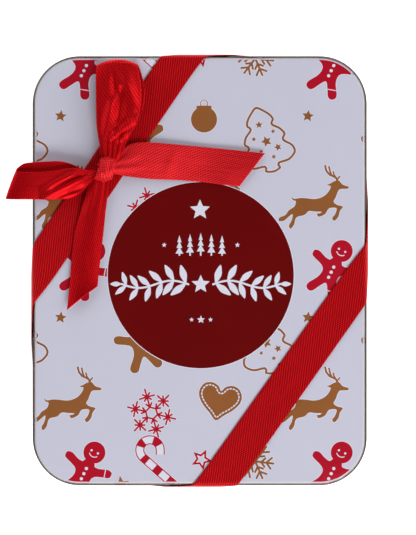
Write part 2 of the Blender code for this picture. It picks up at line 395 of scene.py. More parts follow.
# --- Lid, body and bottom -----------------------------------------------------------------

def lid_half(grow=0.0):
    """Half sizes of the lid's skirt, grown outwards."""
    bead = bpy.context.scene.tin.bead_out
    half = (SHELL_HIGH - SHELL_LOW) / 2
    return Vector((half.x - bead + grow, half.y - bead + grow))


def lid_surface(bm, grow, low, bend_steps):
    """The lid's face, bend and skirt as one open surface, grown outwards."""
    tin = bpy.context.scene.tin
    high = LID_TOP + grow
    rounded_block(bm, lid_half(grow), tin.corner + grow, low, high)
    open_at(bm, low)
    bevel(bm, long_edges(bm, high), tin.edge + grow, bend_steps)


class COOKIE_TIN_OT_lid(bpy.types.Operator):
    """Builds the lid: printed face, bend, skirt and rolled bead"""
    bl_idname = "cookie_tin.lid"
    bl_label = "Lid"

    def execute(self, context):
        tin = context.scene.tin
        enamel = enamel_material("lithographed white enamel", tin.enamel, 0.38, mottle=0.015)
        size_coat = enamel_material("cream size coat", tin.size_coat, 0.45)
        bare = tinplate_material("rolled tinplate, lid", tin.tinplate)
        # The bend and bead are painted dark grey: a painted dark reflection and shade on the metal, not
        # a colour of its own.
        painted_dark_metal = tinplate_material("tinplate, painted dark", tin.painted_dark_metal)
        bm = bmesh.new()
        lid_surface(bm, 0.0, LID_RIM + 0.6 * MM, bend_steps=10)
        face = max(bm.faces, key=lambda f: f.calc_area())
        bmesh.ops.inset_region(bm, faces=[face], thickness=0.5 * MM)
        # Down the bend the enamel ends, then the size coat, then the metal painted dark.
        ends = (0.10, 0.25, 1.0)
        for f in bm.faces:
            share = (LID_TOP - f.calc_center_median().z) / tin.edge
            f.material_index = sum(share >= end for end in ends)
        lid = add_piece("lid_pressing", bm, [enamel, size_coat, painted_dark_metal, bare], "lid")
        wall = thicken(lid, "Sheet", tin.sheet, -1.0)
        wall.material_offset = 3
        wall.material_offset_rim = 3
        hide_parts("lid_shell")

        out = tin.bead_out
        bead = round_bar(lid_half(out), tin.corner + out, LID_RIM, LID_RIM + 1.5 * MM, 1.3 * MM)
        add_piece("lid_bead", bead, [painted_dark_metal], "lid")
        return {"FINISHED"}


class COOKIE_TIN_OT_body(bpy.types.Operator):
    """Builds the body wall with its curled top and lapped side seam, and the seamed bottom"""
    bl_idname = "cookie_tin.body"
    bl_label = "Body and bottom"

    def execute(self, context):
        tin = context.scene.tin
        bare = tinplate_material("rolled tinplate, body", tin.tinplate)
        corner = tin.corner - tin.sheet - tin.slip
        half = ((WALL_HIGH - WALL_LOW) / 2).xy

        def base_piece(name, bm, sharp=35.0):
            return add_piece(name, bm, [bare], "base", sharp)

        bm = bmesh.new()
        low, high = FOOT + 1.0 * MM, WALL_HIGH.z - 0.5 * MM
        rounded_block(bm, half, corner, low, high)
        open_at(bm, low, high)
        wall = base_piece("body_sheet", bm)
        thicken(wall, "Sheet", tin.sheet, -1.0)
        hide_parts("body_wall")

        curl = half - Vector((0.05, 0.05)) * MM
        top = WALL_HIGH.z
        base_piece("body_curl", round_bar(curl, corner, top - 1.6 * MM, top, 1.5 * MM))

        # The lapped seam stands a sheet's thickness out of the rear wall, off the middle.
        bm = bmesh.new()
        at = Matrix.Translation((MIDDLE.x - 40 * MM, MIDDLE.y + half.y + 0.05 * MM, 18.2 * MM))
        size = Matrix.Diagonal((3.2 * MM, 0.4 * MM, 27 * MM, 1))
        bmesh.ops.create_cube(bm, size=1.0, matrix=at @ size)
        bevel(bm, bm.edges[:], 0.14 * MM, 3)
        base_piece("side_seam", bm)

        # The bottom: a pressed panel with two steps, hung in the double seam.
        bm = bmesh.new()
        low = FOOT + 2.2 * MM
        rounded_block(bm, half - Vector((0.4, 0.4)) * MM, corner, low, low + tin.sheet)
        for z in (low, low + tin.sheet):
            for inset, rise in ((5.0, 0.0), (1.2, 0.8), (6.0, 0.0), (1.0, -0.5)):
                face = max(flat_faces(bm, z), key=lambda f: f.calc_area())
                bmesh.ops.inset_region(bm, faces=[face], thickness=inset * MM)
                bmesh.ops.translate(bm, verts=face.verts[:], vec=(0, 0, rise * MM))
                z += rise * MM
        panel = base_piece("bottom_pressing", bm, 60.0)
        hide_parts("bottom_panel")
        outer = ((PANEL_HIGH - PANEL_LOW) / 2).xy
        base_piece("double_seam", round_bar(outer, tin.corner, FOOT, PANEL_HIGH.z, 1.4 * MM))
        return {"FINISHED"}


# --- Print --------------------------------------------------------------------------------

def smooth_curve(points, steps, closed):
    """Points along a smooth curve through the given points, whatever their dimension."""
    count = len(points)
    curve = []
    for i in range(count if closed else count - 1):
        if closed:
            p0, p1, p2, p3 = (points[(i + k) % count] for k in (-1, 0, 1, 2))
        else:
            p0, p1, p2, p3 = (points[min(max(i + k, 0), count - 1)] for k in (-1, 0, 1, 2))
        for step in range(steps):
            t = step / steps
            curve.append(0.5 * ((2 * p1) + (p2 - p0) * t + (2 * p0 - 5 * p1 + 4 * p2 - p3) * t * t
                                + (3 * p1 - p0 - 3 * p2 + p3) * t ** 3))
    if not closed:
        curve.append(points[-1].copy())
    return curve


# The flat shapes start this far under the lid's face, and are raised by the depth.
INK_LOW = 1.2 * MM
INK_DEPTH = 2.4 * MM
# How far the print goes down the bend, and how deep its films are sunk into the sheet.
SKIN_DEPTH = 0.55 * MM
SUNK = 0.06 * MM


class Pen:
    """Draws the flat shapes of one motif, in millimetres round the motif's own middle.

    inks holds a bmesh for each ink. With grow, every shape comes out larger all round and in the
    pale ink, as the underprint.
    """

    def __init__(self, inks, x, y, turn=0.0, grow=0.0):
        self.inks = inks
        self.grow = grow
        self.place = (Matrix.Translation((MIDDLE.x + x * MM, MIDDLE.y + y * MM, LID_TOP - INK_LOW))
                      @ Matrix.Rotation(math.radians(turn), 4, "Z") @ Matrix.Scale(MM, 4))

    def sheet(self, ink):
        return self.inks["under" if self.grow else ink]

    def settle(self, bm, verts):
        """Places a new shape. Each lies a hair lower than the last, so no two are level."""
        bmesh.ops.transform(bm, matrix=self.place, verts=verts)
        bmesh.ops.translate(bm, verts=verts, vec=(0, 0, -len(bm.verts) * 2e-8))

    def dot(self, ink, x, y, radius, segments=24):
        bm = self.sheet(ink)
        made = bmesh.ops.create_circle(bm, cap_ends=True, segments=segments, radius=radius + self.grow,
                                       matrix=Matrix.Translation((x, y, 0)))
        self.settle(bm, made["verts"])

    def line(self, ink, start, end, width):
        """A straight stroke with round ends: a circle, pulled apart."""
        bm = self.sheet(ink)
        start, end = Vector(start), Vector(end)
        verts = bmesh.ops.create_circle(bm, cap_ends=True, segments=8,
                                        radius=width / 2 + self.grow)["verts"]
        bmesh.ops.rotate(bm, verts=verts, cent=(0, 0, 0), matrix=Matrix.Rotation(math.pi / 8, 3, "Z"))
        far = [v for v in verts if v.co.x > 0]
        bmesh.ops.translate(bm, verts=far, vec=((end - start).length, 0, 0))
        angle = math.atan2(end.y - start.y, end.x - start.x)
        bmesh.ops.transform(bm, verts=verts, matrix=(
            Matrix.Translation((start.x, start.y, 0)) @ Matrix.Rotation(angle, 4, "Z")))
        self.settle(bm, verts)

    def stroke(self, ink, points, width):
        """Straight strokes from point to point."""
        for start, end in zip(points, points[1:]):
            self.line(ink, start, end, width)

    def shape(self, ink, points, border=None, steps=1):
        """A filled outline, or only its border. With steps above 1 its corners are rounded."""
        bm = self.sheet(ink)
        points = [Vector(p) for p in points]
        if steps > 1:
            points = smooth_curve(points, steps, True)
        face = bm.faces.new([bm.verts.new((p.x, p.y, 0)) for p in points])
        bm.normal_update()
        if face.normal.z < 0:
            face.normal_flip()
        verts = face.verts[:]
        if self.grow:
            moved = []
            for loop in face.loops:
                before = loop.link_loop_prev.vert.co
                after = loop.link_loop_next.vert.co
                run = (after - before).normalized()
                moved.append((loop.vert, loop.vert.co + self.grow * Vector((run.y, -run.x, 0))))
            for vert, spot in moved:
                vert.co = spot
        if border:
            made = bmesh.ops.inset_region(bm, faces=[face], thickness=border + 2 * self.grow,
                                          use_boundary=True, use_even_offset=True)
            verts = list({v for border_face in made["faces"] for v in border_face.verts})
            bmesh.ops.delete(bm, geom=[face], context="FACES_ONLY")
        self.settle(bm, verts)

    def star(self, ink, x, y, radius, turn=90.0, border=None, inner=0.46):
        """A five-pointed star."""
        points = []
        for i in range(10):
            angle = math.radians(turn + 36 * i)
            reach = radius * (1.0 if i % 2 == 0 else inner)
            points.append((x + reach * math.cos(angle), y + reach * math.sin(angle)))
        self.shape(ink, points, border)

    def box(self, ink, x0, y0, x1, y1):
        self.shape(ink, [(x0, y0), (x1, y0), (x1, y1), (x0, y1)])


def mirrored(half):
    """A closed outline from its right half, which starts and ends on the middle line."""
    return half + [(-x, y) for x, y in reversed(half) if abs(x) > 1e-9]


def polar(radius, degrees, origin=(0.0, 0.0)):
    angle = math.radians(degrees)
    return (origin[0] + radius * math.cos(angle), origin[1] + radius * math.sin(angle))


def gingerbread(pen, ink):
    """A biscuit man: round head, outstretched arms, spread legs, with icing on top."""
    body = mirrored([
        (0.0, -4.0), (2.2, -4.4), (3.1, -5.7), (5.6, -5.4), (8.8, -4.2), (10.9, -4.8), (11.0, -6.9),
        (9.4, -7.9), (6.9, -8.7), (4.6, -9.9), (3.8, -11.9), (4.5, -14.9), (7.0, -19.0),
        (6.9, -21.0), (5.3, -21.9), (3.7, -21.2), (2.2, -18.6), (0.0, -15.7)])
    pen.dot(ink, 0, 0, 4.85, 36)
    pen.shape(ink, body, steps=4)


def icing(pen):
    """Eyes, smile and buttons of the biscuit man, and the cuffs on one arm and one leg."""
    for side in (-1, 1):
        pen.dot("icing", side * 1.55, 0.35, 0.5, 12)
    pen.line("icing", (7.7, -4.3), (8.8, -8.2), 0.4)
    pen.line("icing", (2.3, -18.4), (6.3, -17.2), 0.4)
    smile = [polar(2.35, angle, (0, 0.3)) for angle in range(-140, -39, 20)]
    pen.stroke("icing", smile, 0.42)
    for y in (-7.9, -10.4, -12.9):
        pen.dot("icing", 0, y, 0.72, 14)


def reindeer(pen):
    """A leaping reindeer in outline, filled, with a branching antler."""
    pen.shape("gold", [
        (15.2, 5.9), (12.6, 6.8), (10.9, 8.6), (8.7, 8.2), (7.4, 7.4), (5.6, 6.6), (7.3, 6.1),
        (6.7, 4.2), (5.0, 2.2), (2.6, 0.9), (-0.2, 0.4), (-3.4, 0.8), (-6.2, 0.9), (-8.6, 0.5),
        (-10.1, 1.4), (-9.2, -0.1), (-8.0, -0.6), (-8.7, -2.9), (-11.2, -4.6), (-12.6, -6.6),
        (-15.2, -7.7), (-15.5, -9.2), (-13.2, -9.1), (-10.6, -6.9), (-9.4, -6.3), (-9.9, -9.0),
        (-11.1, -11.3), (-10.4, -12.7), (-8.8, -10.9), (-7.8, -7.7), (-4.2, -6.6), (-2.3, -4.9),
        (0.6, -5.1), (3.4, -5.2), (2.4, -5.9), (1.3, -6.0), (2.0, -7.4), (4.9, -6.2), (6.6, -3.7),
        (9.9, -3.6), (9.2, -6.4), (8.0, -7.9), (8.9, -9.2), (10.7, -7.4), (11.4, -4.9),
        (12.7, -2.9), (10.3, -2.2), (8.6, -0.8), (9.6, 1.2), (10.9, 4.4), (12.6, 4.9), (14.9, 5.0)],
        steps=3)
    for width, tine in (
            (0.95, [(10.4, 8.2), (9.6, 9.9), (6.8, 11.2), (5.4, 12.9), (4.9, 15.0)]),
            (0.85, [(7.9, 10.6), (7.1, 12.4), (6.6, 14.6)]),
            (0.8, [(9.5, 10.0), (8.8, 11.2), (8.5, 12.4)]), (0.75, [(10.3, 9.2), (11.3, 10.4)])):
        pen.stroke("gold", tine, width)


def fir_biscuit(pen):
    """The outline of a fir-tree biscuit with small stars in it. Its origin is the tip."""
    half = [
        (0.0, -0.1), (3.5, -2.6), (5.8, -5.4), (6.3, -7.6), (5.3, -9.2), (8.1, -11.7), (9.6, -14.9),
        (8.3, -17.1), (11.3, -20.2), (11.8, -23.8), (8.2, -26.6), (3.5, -27.0), (3.6, -29.0),
        (0.0, -30.1)]
    pen.shape("gold", mirrored(half), border=0.95, steps=4)
    for x, y, radius in ((-0.7, -8.1, 1.45), (4.5, -12.5, 0.95), (-4.6, -13.6, 1.0), (0.5, -16.0, 2.1),
                         (4.7, -19.8, 1.5), (-2.9, -19.7, 0.9), (1.8, -23.4, 1.0)):
        pen.star("gold", x, y, 1.2 * radius, turn=90 + 17 * x)


def bauble(pen):
    """A glass ball with its cap and ring."""
    pen.dot("gold", 0, 0, 5.75, 40)
    pen.box("gold", -2.6, 4.4, 2.6, 6.0)
    pen.shape("gold", [(-3.4, 4.9), (3.4, 4.9), (3.2, 6.1), (-3.2, 6.1)])
    ring = [polar(1.75, angle, (0, 7.0)) for angle in range(0, 360, 18)]
    pen.shape("gold", ring, border=0.35)


def heart_outline():
    """The edge of a gingerbread heart. Its origin is the notch between the lobes."""
    half = [(0.0, -0.1), (1.6, 1.9), (4.5, 3.0), (7.6, 2.1), (9.4, -0.9), (9.0, -4.3),
            (6.6, -7.6), (3.3, -10.4), (0.0, -13.2)]
    return smooth_curve([Vector(p) for p in mirrored(half)], 5, True)


def heart(pen):
    pen.shape("gold", heart_outline())


def heart_icing(pen):
    """Dashes of icing that follow the heart inside its edge."""
    outline = heart_outline()
    inset = 1.25
    dashes = 34
    count = len(outline)
    track = []
    for i, point in enumerate(outline):
        run = (outline[(i + 1) % count] - outline[i - 1]).normalized()
        track.append(point + inset * Vector((run.y, -run.x)))
    lengths = [0.0]
    for start, end in zip(track, track[1:] + track[:1]):
        lengths.append(lengths[-1] + (end - start).length)
    for dash in range(dashes):
        wanted = (dash + 0.5) * lengths[-1] / dashes
        i = max(k for k in range(count) if lengths[k] <= wanted)
        run = (track[(i + 1) % count] - track[i]).normalized()
        spot = track[i] + run * (wanted - lengths[i])
        pen.line("icing", spot - 0.3 * run, spot + 0.3 * run, 0.62)


def starry_flake(pen):
    """A snowflake: a hexagon from which six arms run out to small asterisks."""
    for arm in range(6):
        angle = 46 + 60 * arm
        root = polar(2.7, angle)
        hub = polar(7.4, angle)
        pen.line("red", root, polar(2.7, angle + 60), 0.82)
        pen.line("red", root, polar(10.8, angle), 0.82)
        for side in (-1, 1):
            for start, reach, lean in ((root, 2.0, 38), (hub, 3.3, 92), (hub, 2.1, 48), (hub, 2.1, 135)):
                pen.line("red", start, polar(reach, angle + side * lean, start), 0.82)


def feather_flake(pen):
    """A snowflake with six feathered arms."""
    for arm in range(6):
        angle = -7 + 60 * arm
        pen.line("gold", (0, 0), polar(8.0, angle), 1.0)
        for reach, length in ((2.6, 2.5), (4.9, 3.2)):
            root = polar(reach, angle)
            for side in (-1, 1):
                pen.line("gold", root, polar(length, angle + side * 48, root), 0.95)


def candy_cane(pen):
    """A striped sugar cane: a bent strip of cells, of which only stripes and edges are inked."""
    bm = pen.sheet("red")
    width = 4.0 + 2 * pen.grow
    radius, hook = 4.5, 1.27 * math.pi
    tip, straight = 2.0, 22.0
    total = tip + radius * hook + straight
    pitch, first = 7.5, 5.9
    verts = bmesh.ops.create_grid(bm, x_segments=60, y_segments=4, size=0.5)["verts"]
    faces = list({face for vert in verts for face in vert.link_faces})
    stripes = [f for f in faces if math.cos(
        ((f.calc_center_median().x + 0.5) * total - first) * 2 * math.pi / pitch) > 0.25]
    rows = {-0.5: -1.0, -0.25: -0.76, 0.0: 0.0, 0.25: 0.76, 0.5: 1.0}
    edges = [f for f in faces if abs(f.calc_center_median().y) > 0.3]
    unwanted = [] if pen.grow else [f for f in faces if f not in stripes and f not in edges]
    for vert in verts:
        s = (vert.co.x + 0.5) * total
        q = rows[round(vert.co.y * 4) / 4] * width / 2
        if s < tip:
            spot = Vector((radius - q, s - tip, 0))
        elif s < tip + radius * hook:
            angle = (s - tip) / radius
            spot = Vector(((radius - q) * math.cos(angle), (radius - q) * math.sin(angle), 0))
        else:
            end = Vector((math.cos(hook), math.sin(hook), 0))
            run = Vector((-math.sin(hook), math.cos(hook), 0))
            spot = end * (radius - q) + run * (s - tip - radius * hook)
        vert.co = spot
    bmesh.ops.delete(bm, geom=unwanted, context="FACES")
    pen.settle(bm, [v for v in verts if v.is_valid])


def sprig(pen):
    """The flourish on the roundel: two leafy twigs that grow outwards from a star."""
    outline = ((0, 0), (0.14, 0.30), (0.18, 0.52), (0.11, 0.8), (0, 1),
               (-0.11, 0.8), (-0.18, 0.52), (-0.14, 0.30))
    pen.star("white", 0, 0, 4.2)
    for side in (-1, 1):
        stem = [Vector((side * (5.5 + 1.05 * i), 1.6 * math.sin(i / 4.4))) for i in range(29)]
        pen.stroke("white", stem, 0.95)
        for i in range(1, 29, 5):
            run = (stem[i + 1 if i < 28 else i] - stem[i - 1]).normalized()
            heading = math.degrees(math.atan2(run.y, run.x))
            length = 8.6 - 0.09 * i
            for lean in (-56, 56):
                leaf = []
                for across, along in outline:
                    point = polar(length * along, heading + lean, stem[i])
                    leaf.append(polar(length * across, heading + lean + 90, point))
                pen.shape("white", leaf, steps=3)
        tip = [polar(6.0 * across, 90, (stem[-1].x + side * 5.0 * along, stem[-1].y))
               for across, along in outline]
        pen.shape("white", tip, steps=3)


def small_firs(pen):
    """A row of slim fir trees with a bar under each."""
    for k in range(-2, 3):
        x = k * 4.7
        high = 5.2 - 0.5 * abs(k)
        for tier in range(3):
            top = high - tier * 2.5
            half = 0.9 + 0.42 * tier
            pen.shape("white", [(x - half, top - 3.1), (x + half, top - 3.1), (x, top)])
        pen.box("white", x - 0.35, -4.8, x + 0.35, high - 7.5)


# Every motif of one repeat: what draws it, where it lies on the lid, how it is turned, and its reach.
# Each lies again at every repeat across and along, as far as the lid goes.
REPEAT = (
    (lambda pen: gingerbread(pen, "red"), 62.6, -80.1, -26.5, 24),
    (lambda pen: gingerbread(pen, "gold"), -28.4, -22.6, 14.0, 24),
    (reindeer, 50.4, 31.2, 0.0, 20),
    (fir_biscuit, 24.6, 72.3, 15.7, 32),
    (bauble, 1.9, 66.7, 0.0, 9),
    (lambda pen: pen.star("gold", 0, 0, 2.8), -61.3, 68.2, -8.0, 3),
    (lambda pen: pen.star("gold", 0, 0, 4.0), -34.6, -94.3, 8.0, 5),
    (heart, 9.5, -52.9, -10.7, 14),
    (starry_flake, -21.2, -62.7, 0.0, 12),
    (feather_flake, 24.5, -84.0, 0.0, 9),
    (candy_cane, -21.9, -79.0, 0.0, 36),
    (lambda pen: pen.star("red", 0, 0, 4.9, turn=0, border=0.85, inner=0.47), 0.8, -83.2, 64.0, 6),
)
ICED = (
    (icing, 62.6, -80.1, -26.5),
    (heart_icing, 9.5, -52.9, -10.7),
)
ICED_REACH = 22
ROUNDEL_AT = (0.45, -1.95)


def copies(x, y, reach, settings):
    """Where the copies of a motif lie, without those off the lid or under the roundel."""
    step_x = settings.repeat_across / MM
    step_y = settings.repeat_along / MM
    half = lid_half() / MM
    for i in range(-2, 3):
        for j in range(-3, 4):
            at = (x + i * step_x, y + j * step_y)
            on_lid = abs(at[0]) < half.x + reach and abs(at[1]) < half.y + reach
            away = math.dist(at, ROUNDEL_AT)
            if on_lid and away > settings.roundel / MM - 0.6 * reach:
                yield at


def lay_ink(name, bm, height, material):
    """Raises flat shapes into prisms and keeps of them what lies in a skin on the lid."""
    made = bmesh.ops.extrude_face_region(bm, geom=bm.faces[:])
    top = [item for item in made["geom"] if isinstance(item, bmesh.types.BMVert)]
    bmesh.ops.translate(bm, verts=top, vec=(0, 0, INK_DEPTH))
    bmesh.ops.recalc_face_normals(bm, faces=bm.faces[:])
    base = put("ink shapes", to_mesh(name, bm))
    skin_bm = bmesh.new()
    lid_surface(skin_bm, height, LID_TOP - SKIN_DEPTH, bend_steps=3)
    loose = [v for v in skin_bm.verts if not v.link_faces]
    bmesh.ops.delete(skin_bm, geom=loose, context="VERTS")
    bmesh.ops.solidify(skin_bm, geom=skin_bm.faces[:], thickness=SUNK + height)
    if skin_bm.calc_volume(signed=True) < 0:
        bmesh.ops.reverse_faces(skin_bm, faces=skin_bm.faces[:])
    skin = put("ink skin", to_mesh("skin", skin_bm))
    cut = base.modifiers.new("Skin", "BOOLEAN")
    cut.operation = "INTERSECT"
    cut.solver = "EXACT"
    cut.use_self = True
    cut.object = skin
    graph = bpy.context.evaluated_depsgraph_get()
    result = bmesh.new()
    result.from_mesh(base.evaluated_get(graph).to_mesh())
    for temporary in (base, skin):
        mesh = temporary.data
        bpy.data.objects.remove(temporary)
        bpy.data.meshes.remove(mesh)
    if not result.faces:
        raise RuntimeError(f"{name}: nothing of the shapes is left on the lid")
    bmesh.ops.remove_doubles(result, verts=result.verts[:], dist=1e-7)
    for face in result.faces:
        face.material_index = 0
    return add_piece(name, result, [material], "lid", sharp=20.0)


class COOKIE_TIN_OT_print(bpy.types.Operator):
    """Prints the lid: the repeat of motifs, the roundel and its flourish, each ink a thin film"""
    bl_idname = "cookie_tin.print"
    bl_label = "Print"

    def execute(self, context):
        settings = context.scene.tin_print
        inks = {ink: bmesh.new() for ink in ("under", "red", "gold", "icing", "rim", "dark", "white")}
        grow = settings.halo / MM
        for draw, x, y, turn, reach in REPEAT:
            for at in copies(x, y, reach, settings):
                draw(Pen(inks, *at, turn))
                draw(Pen(inks, *at, turn, grow))
        for draw, x, y, turn in ICED:
            for at in copies(x, y, ICED_REACH, settings):
                draw(Pen(inks, *at, turn))
        pen = Pen(inks, *ROUNDEL_AT)
        radius = settings.roundel / MM
        pen.dot("rim", 0, 0, radius + 0.35, 160)
        pen.dot("dark", 0, 0, radius, 160)
        for x, y, size in ((-0.3, 28.8, 4.6), (-16.1, 13.3, 1.15), (16.2, 13.3, 1.15),
                           (-4.0, -19.6, 1.05), (0.1, -19.6, 1.8), (4.3, -19.6, 1.05)):
            pen.star("white", x, y, size)
        small_firs(Pen(inks, ROUNDEL_AT[0], ROUNDEL_AT[1] + 13.4))
        sprig(Pen(inks, ROUNDEL_AT[0], ROUNDEL_AT[1] - 4.0))

        pale = enamel_material("white underprint", settings.pale, 0.4)
        white = enamel_material("opaque white ink", settings.pale, 0.4)
        red = enamel_material("bright red ink", settings.red, 0.4, mottle=0.06)
        gold = enamel_material("bronze gold ink", settings.gold, 0.42, mottle=0.10, metallic=0.35)
        dark = enamel_material("dark red ink", settings.dark, 0.36, mottle=0.12)
        films = (("under", 0.006, pale, "print_underprint"), ("red", 0.014, red, "print_red"),
                 ("gold", 0.015, gold, "print_gold"), ("icing", 0.024, white, "print_icing"),
                 ("rim", 0.032, pale, "print_roundel_rim"), ("dark", 0.040, dark, "print_roundel"),
                 ("white", 0.050, white, "print_flourish"))
        for ink, height, material, name in films:
            lay_ink(name, inks[ink], height * MM, material)
        return {"FINISHED"}


# --- Ribbon band --------------------------------------------------------------------------

def strip_grid(bm, long_cells, wide_cells):
    """A grid whose vertices come back with their share along and across."""
    made = bmesh.ops.create_grid(bm, x_segments=long_cells, y_segments=wide_cells, size=0.5)
    return [(vert, vert.co.x + 0.5, vert.co.y + 0.5) for vert in made["verts"]]


def set_uv(bm, shares, width, length):
    """Writes the UV in metres: across the ribbon and along it."""
    layer = bm.loops.layers.uv.new("UVMap")
    spots = {vert: (across * width, along * length) for vert, along, across in shares}
    for face in bm.faces:
        for loop in face.loops:
            loop[layer].uv = spots[loop.vert]


class Fold:
    """One place where the band goes over an edge of the tin.

    corner is where the two planes' middle surfaces would meet, first and second run from it into the
    plane that the band comes from and the one that it goes to, and side runs along the edge.
    """

    def __init__(self, corner, first, second):
        self.corner = corner
        self.first = first
        self.second = second
        self.side = None
        self.before = None
        self.after = None

    def wrap(self, down, along, bend):
        """Places a point that lies down past the edge, and along beside the corner."""
        base = self.corner + self.side * along
        if down <= -bend:
            return base - self.first * down
        if down >= bend:
            return base + self.second * down
        turn = (down + bend) / (2 * bend) * math.pi / 2
        return base + bend * ((1 - math.sin(turn)) * self.first + (1 - math.cos(turn)) * self.second)


def band_folds():
    """The band's eight folds in order, with the planes on both sides."""
    skirt_gap = 0.00048  # from the skirt to the middle of the band's thickness
    top = LID_TOP + TOP_STRIP + 0.00005
    foot = 0.0002
    half = lid_half(skirt_gap)
    across, along, up = Vector((1, 0, 0)), Vector((0, 1, 0)), Vector((0, 0, 1))

    def middle(name, axis, at_top):
        """Where the middle of a wall strip meets its upper or lower end."""
        low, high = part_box(name)
        level = high.z if at_top else low.z
        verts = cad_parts[name].data.vertices
        spots = [v.co[axis] for v in verts if abs(v.co.z - level) < 1e-5]
        return (min(spots) + max(spots)) / 2

    folds = []
    for side, axis, outward, downward in (("rear", 0, along, True), ("right", 1, across, False),
                                          ("front", 0, -along, True), ("left", 1, -across, False)):
        for at_top in (downward, not downward):
            strip = f"band_lid_{side}" if at_top else f"band_base_{side}"
            corner = Vector((0, 0, top if at_top else foot))
            corner[axis] = middle(strip, axis, at_top)
            corner[1 - axis] = MIDDLE[1 - axis] + outward[1 - axis] * half[1 - axis]
            planes = [-outward, -up if at_top else up]
            if at_top != downward:
                planes.reverse()
            folds.append(Fold(corner, *planes))
    return folds


def wall_swell(z):
    """How far the band stands out of the wall at height z, over the lid's bead."""
    bead = LID_RIM + 0.8 * MM
    out = bpy.context.scene.tin.bead_out + 0.15 * MM
    if z > bead:
        share = (LID_TOP - z) / (LID_TOP - bead)
    else:
        share = (z - FOOT) / (bead - FOOT)
    share = min(max(share, 0.0), 1.0)
    rounded = share - 0.12 * math.exp(-((z - bead) / (1.5 * MM)) ** 2)
    return out * rounded


class COOKIE_TIN_OT_band(bpy.types.Operator):
    """Wraps one ribbon round the tin, over two corners of the lid and under the other two"""
    bl_idname = "cookie_tin.band"
    bl_label = "Ribbon band"

    def execute(self, context):
        ribbon = context.scene.ribbon
        folds = band_folds()
        count = len(folds)
        runs = [folds[(i + 1) % count].corner - fold.corner for i, fold in enumerate(folds)]
        for i, fold in enumerate(folds):
            fold.side = fold.first.cross(fold.second)
            incoming = runs[i - 1].normalized()
            outgoing = runs[i].normalized()
            fold.before = Vector((-incoming.dot(fold.first), incoming.dot(fold.side))).normalized()
            fold.after = Vector((outgoing.dot(fold.second), outgoing.dot(fold.side))).normalized()
        starts = [0.0]
        for run in runs:
            starts.append(starts[-1] + run.length)
        total = starts[-1]
        ease = 9 * MM

        def centre(fold, s):
            """Middle line of the band at a fold, unfolded, and its direction."""
            if abs(s) >= ease:
                run = fold.after if s > 0 else fold.before
                return run * s, run
            t = (s + ease) / (2 * ease)
            spot = -ease * fold.before * (1 - t) ** 2 + ease * fold.after * t ** 2
            return spot, (fold.before * (1 - t) + fold.after * t).normalized()

        bm = bmesh.new()
        shares = strip_grid(bm, 1500, 16)
        laps = [(starts[k % count] + k // count * total, folds[k % count]) for k in range(-1, count + 1)]
        for vert, along, across in shares:
            s = along * total - runs[-1].length / 2
            start, fold = min(laps, key=lambda lap: abs(s - lap[0]))
            spot, run = centre(fold, s - start)
            q = (across - 0.5) * ribbon.width
            down = spot.x - run.y * q
            beside = spot.y + run.x * q
            point = fold.wrap(down, beside, ribbon.bend)
            from_wall = abs(fold.first.z) > 0.5
            if (-down if from_wall else down) > 0:
                level = fold.second if from_wall else fold.first
                point = point - level * wall_swell(point.z)
            vert.co = point
        set_uv(bm, shares, ribbon.width, total)
        bmesh.ops.remove_doubles(bm, verts=bm.verts[:], dist=1e-6)
        bmesh.ops.recalc_face_normals(bm, faces=bm.faces[:])
        cloth = ribbon_material("polyester ribbon, dull side", ribbon.band_deep, ribbon.band_bright,
                                roughness=0.5, sheen=0.02, gloss=0.35, relief=0.5, painted_streak=0.25)
        band = add_piece("ribbon_band", bm, [cloth], None, sharp=80.0)
        thicken(band, "Ribbon", ribbon.thickness, 0.0)
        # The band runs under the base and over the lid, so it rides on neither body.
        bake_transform(band)
        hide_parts(*[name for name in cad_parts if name.startswith("band_")])
        return {"FINISHED"}


# --- Bow ----------------------------------------------------------------------------------

ROLL_DEPTH = 0.9  # millimetres between a rolled side and the ribbon over it


def fold_lift(point, start, end, width):
    """Share of a fold's height at a point of the plan: it swells in the middle and dies at its ends."""
    run = end - start
    share = max(0.0, min(1.0, (point - start).dot(run) / run.length_squared))
    gap = (point - (start + run * share)).length
    return math.sin(math.pi * share) ** 0.7 * math.exp(-(gap / width) ** 2)


def rolled_under(across, tuck):
    """Where a share of the width lies once a share tuck of it is rolled under at each side.

    Gives the share from edge to edge and how far under it is, from 0 to 1.
    """
    side = min(across, 1 - across)
    if side >= tuck:
        return (across - tuck) / (1 - 2 * tuck), 0.0
    turn = 1 - side / tuck
    share = 0.42 * turn
    return (share if across < 0.5 else 1 - share), math.sin(min(1.0, 3 * turn) * math.pi / 2)


